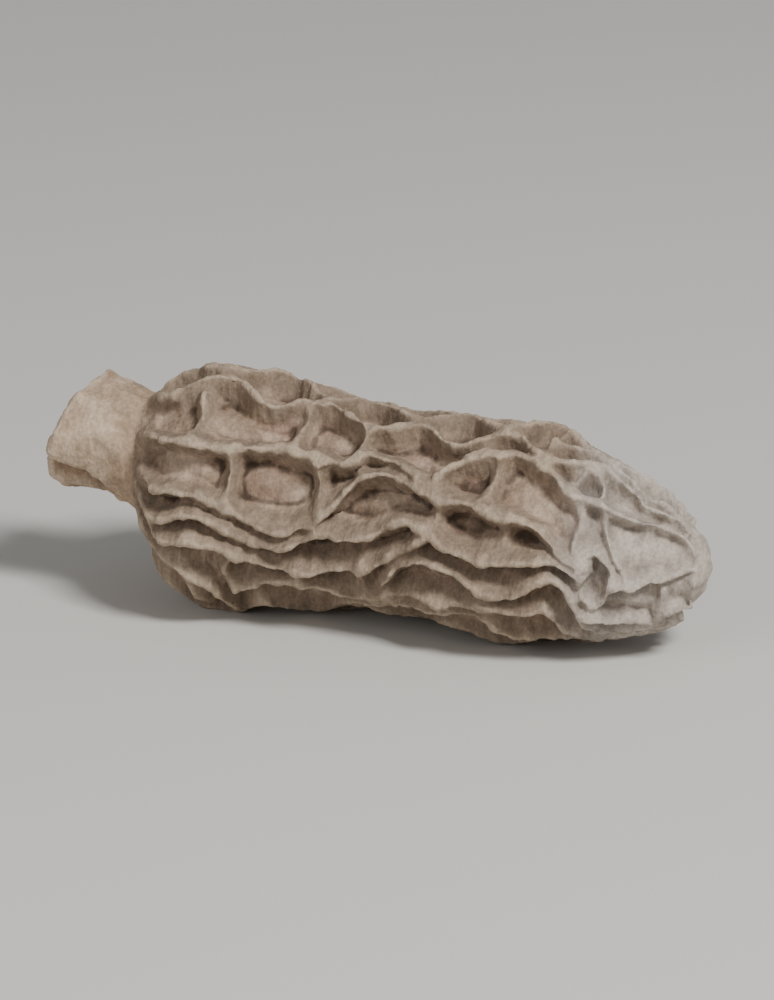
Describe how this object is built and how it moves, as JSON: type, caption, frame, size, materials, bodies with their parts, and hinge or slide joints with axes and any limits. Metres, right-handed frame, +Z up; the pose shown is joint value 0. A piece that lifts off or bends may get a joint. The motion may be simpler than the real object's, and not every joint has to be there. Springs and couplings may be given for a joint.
{
  "type": "dried morel mushroom",
  "caption": "Whole dried morel lying on its side: hollow conical cap with a raised net of ribs and pits, and a short hollow stem cut off below it.",
  "frame": {"origin": "centre of the footprint of the bounding box, on the surface that the mushroom lies on", "axes": "+X along the mushroom's length, from the mouth of the stem to the tip of the cap; +Z up as it lies"},
  "size_m": [0.0441, 0.0176, 0.0156],
  "materials": {
    "dried_flesh": "dry, matt, wrinkled fungus flesh"
  },
  "bodies": {
    "root": {"dried_morel": "dried_flesh"}
  },
  "joints": []
}
